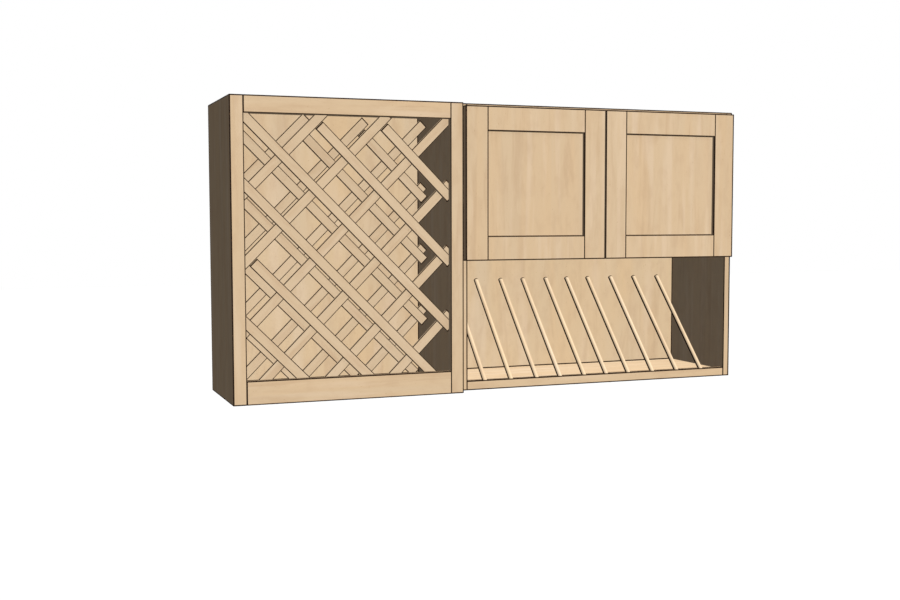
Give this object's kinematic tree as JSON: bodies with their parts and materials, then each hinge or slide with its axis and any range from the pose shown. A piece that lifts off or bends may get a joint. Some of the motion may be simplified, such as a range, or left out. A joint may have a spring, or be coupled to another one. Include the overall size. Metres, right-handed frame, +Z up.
{
  "type": "wine cabinet",
  "caption": "Wall unit in pale wood: a wine cabinet with crossed lattice strips joined to a cabinet with two panelled doors over an open rack of slanted dowels",
  "frame": {"origin": "the middle of the unit's flat wall face, which is the rear of both cabinets", "axes": "+X to the right seen from the front, +Y into the wall, +Z up; the front faces -Y"},
  "size_m": [1.4478, 0.3048, 0.762],
  "materials": {
    "cabinet_maple": "clear satin lacquer on pale wood",
    "frame_maple": "clear satin lacquer on pale wood",
    "lattice_maple": "clear satin lacquer on pale wood",
    "door_maple": "clear satin lacquer on pale wood",
    "panel_maple": "clear satin lacquer on pale veneer",
    "dowel_maple": "clear satin lacquer on turned wood",
    "back_ply": "clear satin lacquer on thin plywood",
    "hinge_nickel": "nickel plated"
  },
  "bodies": {
    "root": {"wine_side_left": "cabinet_maple", "wine_side_right": "cabinet_maple", "wine_top": "cabinet_maple", "wine_bottom": "cabinet_maple", "wine_back": "back_ply", "frame_stile_left": "frame_maple", "frame_stile_right": "frame_maple", "frame_rail_top": "frame_maple", "frame_rail_bottom": "frame_maple", "lattice_front_fall_1": "lattice_maple", "lattice_front_fall_2": "lattice_maple", "lattice_front_fall_3": "lattice_maple", "lattice_front_fall_4": "lattice_maple", "lattice_front_fall_5": "lattice_maple", "lattice_front_fall_6": "lattice_maple", "lattice_front_rise_1": "lattice_maple", "lattice_front_rise_2": "lattice_maple", "lattice_front_rise_3": "lattice_maple", "lattice_front_rise_4": "lattice_maple", "lattice_front_rise_5": "lattice_maple", "lattice_front_rise_6": "lattice_maple", "lattice_rear_1": "lattice_maple", "lattice_rear_2": "lattice_maple", "lattice_rear_3": "lattice_maple", "lattice_rear_4": "lattice_maple", "rack_side_left": "cabinet_maple", "rack_side_right": "cabinet_maple", "rack_top": "cabinet_maple", "rack_shelf": "cabinet_maple", "rack_bottom": "cabinet_maple", "rack_lip": "cabinet_maple", "rack_back": "back_ply", "rack_dowel_1": "dowel_maple", "rack_dowel_2": "dowel_maple", "rack_dowel_3": "dowel_maple", "rack_dowel_4": "dowel_maple", "rack_dowel_5": "dowel_maple", "rack_dowel_6": "dowel_maple", "rack_dowel_7": "dowel_maple", "rack_dowel_8": "dowel_maple", "rack_dowel_9": "dowel_maple", "rack_dowel_10": "dowel_maple", "hinge_left_bottom_arm": "hinge_nickel", "hinge_left_top_arm": "hinge_nickel", "hinge_right_bottom_arm": "hinge_nickel", "hinge_right_top_arm": "hinge_nickel"},
    "door_left": {"door_left_hinge_stile": "door_maple", "door_left_free_stile": "door_maple", "door_left_rail_top": "door_maple", "door_left_rail_bottom": "door_maple", "door_left_panel": "panel_maple", "hinge_left_bottom_cup": "hinge_nickel", "hinge_left_top_cup": "hinge_nickel"},
    "door_right": {"door_right_hinge_stile": "door_maple", "door_right_free_stile": "door_maple", "door_right_rail_top": "door_maple", "door_right_rail_bottom": "door_maple", "door_right_panel": "panel_maple", "hinge_right_bottom_cup": "hinge_nickel", "hinge_right_top_cup": "hinge_nickel"}
  },
  "joints": [
    {"name": "door_left_swing", "type": "hinge", "parent": "root", "child": "door_left", "pos_m": [-0.1028, -0.2988, 0.17], "axis": [0, 0, -1], "range_deg": [0, 110]},
    {"name": "door_right_swing", "type": "hinge", "parent": "root", "child": "door_right", "pos_m": [0.7124, -0.2988, 0.17], "axis": [0, 0, 1], "range_deg": [0, 110]}
  ]
}
